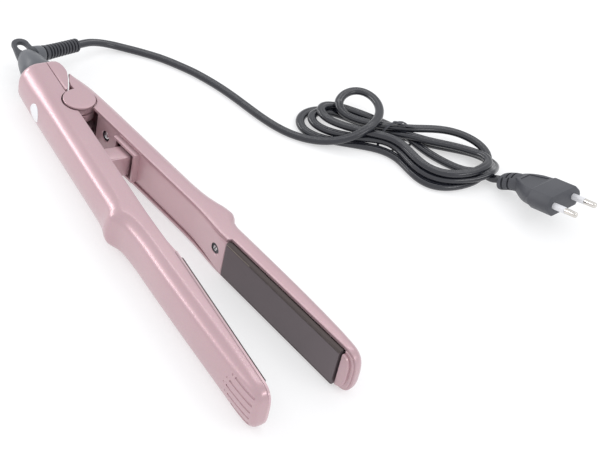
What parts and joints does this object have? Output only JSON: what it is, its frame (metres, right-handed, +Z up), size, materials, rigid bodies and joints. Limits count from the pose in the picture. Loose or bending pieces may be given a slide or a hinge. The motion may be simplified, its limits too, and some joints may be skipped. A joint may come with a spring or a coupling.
{
  "type": "flat iron",
  "caption": "Hinged two-arm hair straightener with heated flat plates, spring-opened arms, a cord swivel and a tied mains cord with plug.",
  "frame": {"origin": "on the hinge axis, at the flat bottom of the lower hinge disc, which the iron rests on", "axes": "+Z up along the hinge axis, +X along the cord arm from the hinge to its tip, +Y towards the free arm"},
  "size_m": [0.3505, 0.3068, 0.0308],
  "materials": {
    "pink_shell": "satin pearl paint",
    "pink_cover": "satin pearl paint",
    "badge": "gloss",
    "plate_coating": "satin ceramic coating on aluminium",
    "heater_ceramic": "matt",
    "polyimide": "film",
    "black_plastic": "matt moulded",
    "swivel_plastic": "satin",
    "steel": "bright plated",
    "brass": "bare",
    "nylon": "matt",
    "board": "solder mask",
    "cord_pvc": "satin",
    "plug_pvc": "fine texture",
    "plug_pin": "nickel plated",
    "silicone": "matt"
  },
  "bodies": {
    "cord_arm": {"cord_arm_shell": "pink_shell", "cord_arm_cover": "pink_cover", "rear_cover": "pink_shell", "badge_disc": "badge", "control_board": "board", "board_capacitor": "black_plastic", "mains_leads": "cord_pvc", "heater_leads_a": "cord_pvc", "heater_plate_a": "plate_coating", "heater_element_a": "heater_ceramic", "insulating_film_a": "polyimide", "plate_carrier_a": "black_plastic", "thermal_fuse_a": "steel", "cover_screw_a_1": "steel", "cover_screw_a_2": "steel", "rear_cover_screw": "steel", "contact_brush_1": "brass", "contact_brush_2": "brass", "hinge_disc_top": "pink_shell", "hinge_disc_bottom": "pink_shell", "hinge_pin": "steel", "hinge_spring": "steel", "hinge_washer_top": "nylon", "hinge_washer_bottom": "nylon", "cord_lead": "cord_pvc", "cord_hank": "cord_pvc", "cord_tie": "black_plastic", "plug_body": "plug_pvc", "plug_pin_1": "plug_pin", "plug_pin_2": "plug_pin", "pin_sleeve_1": "nylon", "pin_sleeve_2": "nylon"},
    "free_arm": {"free_arm_shell": "pink_shell", "free_arm_cover": "pink_cover", "tip_insert": "pink_cover", "heater_leads_b": "cord_pvc", "silicone_pad_1": "silicone", "silicone_pad_2": "silicone", "cover_screw_b_1": "steel", "cover_screw_b_2": "steel"},
    "floating_plate": {"heater_plate_b": "plate_coating", "heater_element_b": "heater_ceramic", "insulating_film_b": "polyimide", "plate_carrier_b": "black_plastic", "thermal_fuse_b": "steel"},
    "cord_swivel": {"swivel_cap": "swivel_plastic", "hanging_loop": "black_plastic", "strain_relief": "black_plastic", "swivel_retainer": "black_plastic", "contact_ring_1": "brass", "contact_ring_2": "brass"}
  },
  "joints": [
    {"name": "arm_pivot", "type": "hinge", "parent": "cord_arm", "child": "free_arm", "pos_m": [0, 0, 0.0153], "axis": [0, 0, -1], "range_deg": [0, 11], "stiffness_Nm_per_rad": 1, "springref_deg": -17.19, "deforming": ["hinge_spring"]},
    {"name": "plate_float", "type": "slide", "parent": "free_arm", "child": "floating_plate", "axis": [-0.1908, 0.9816, 0], "range_m": [0, 0.0007], "stiffness_N_per_m": 3000, "springref_m": -0.001, "deforming": ["silicone_pad_1", "silicone_pad_2"]},
    {"name": "swivel_turn", "type": "hinge", "parent": "cord_arm", "child": "cord_swivel", "pos_m": [-0.05, -0.0035, 0.0153], "axis": [1, 0, 0], "continuous": true}
  ]
}
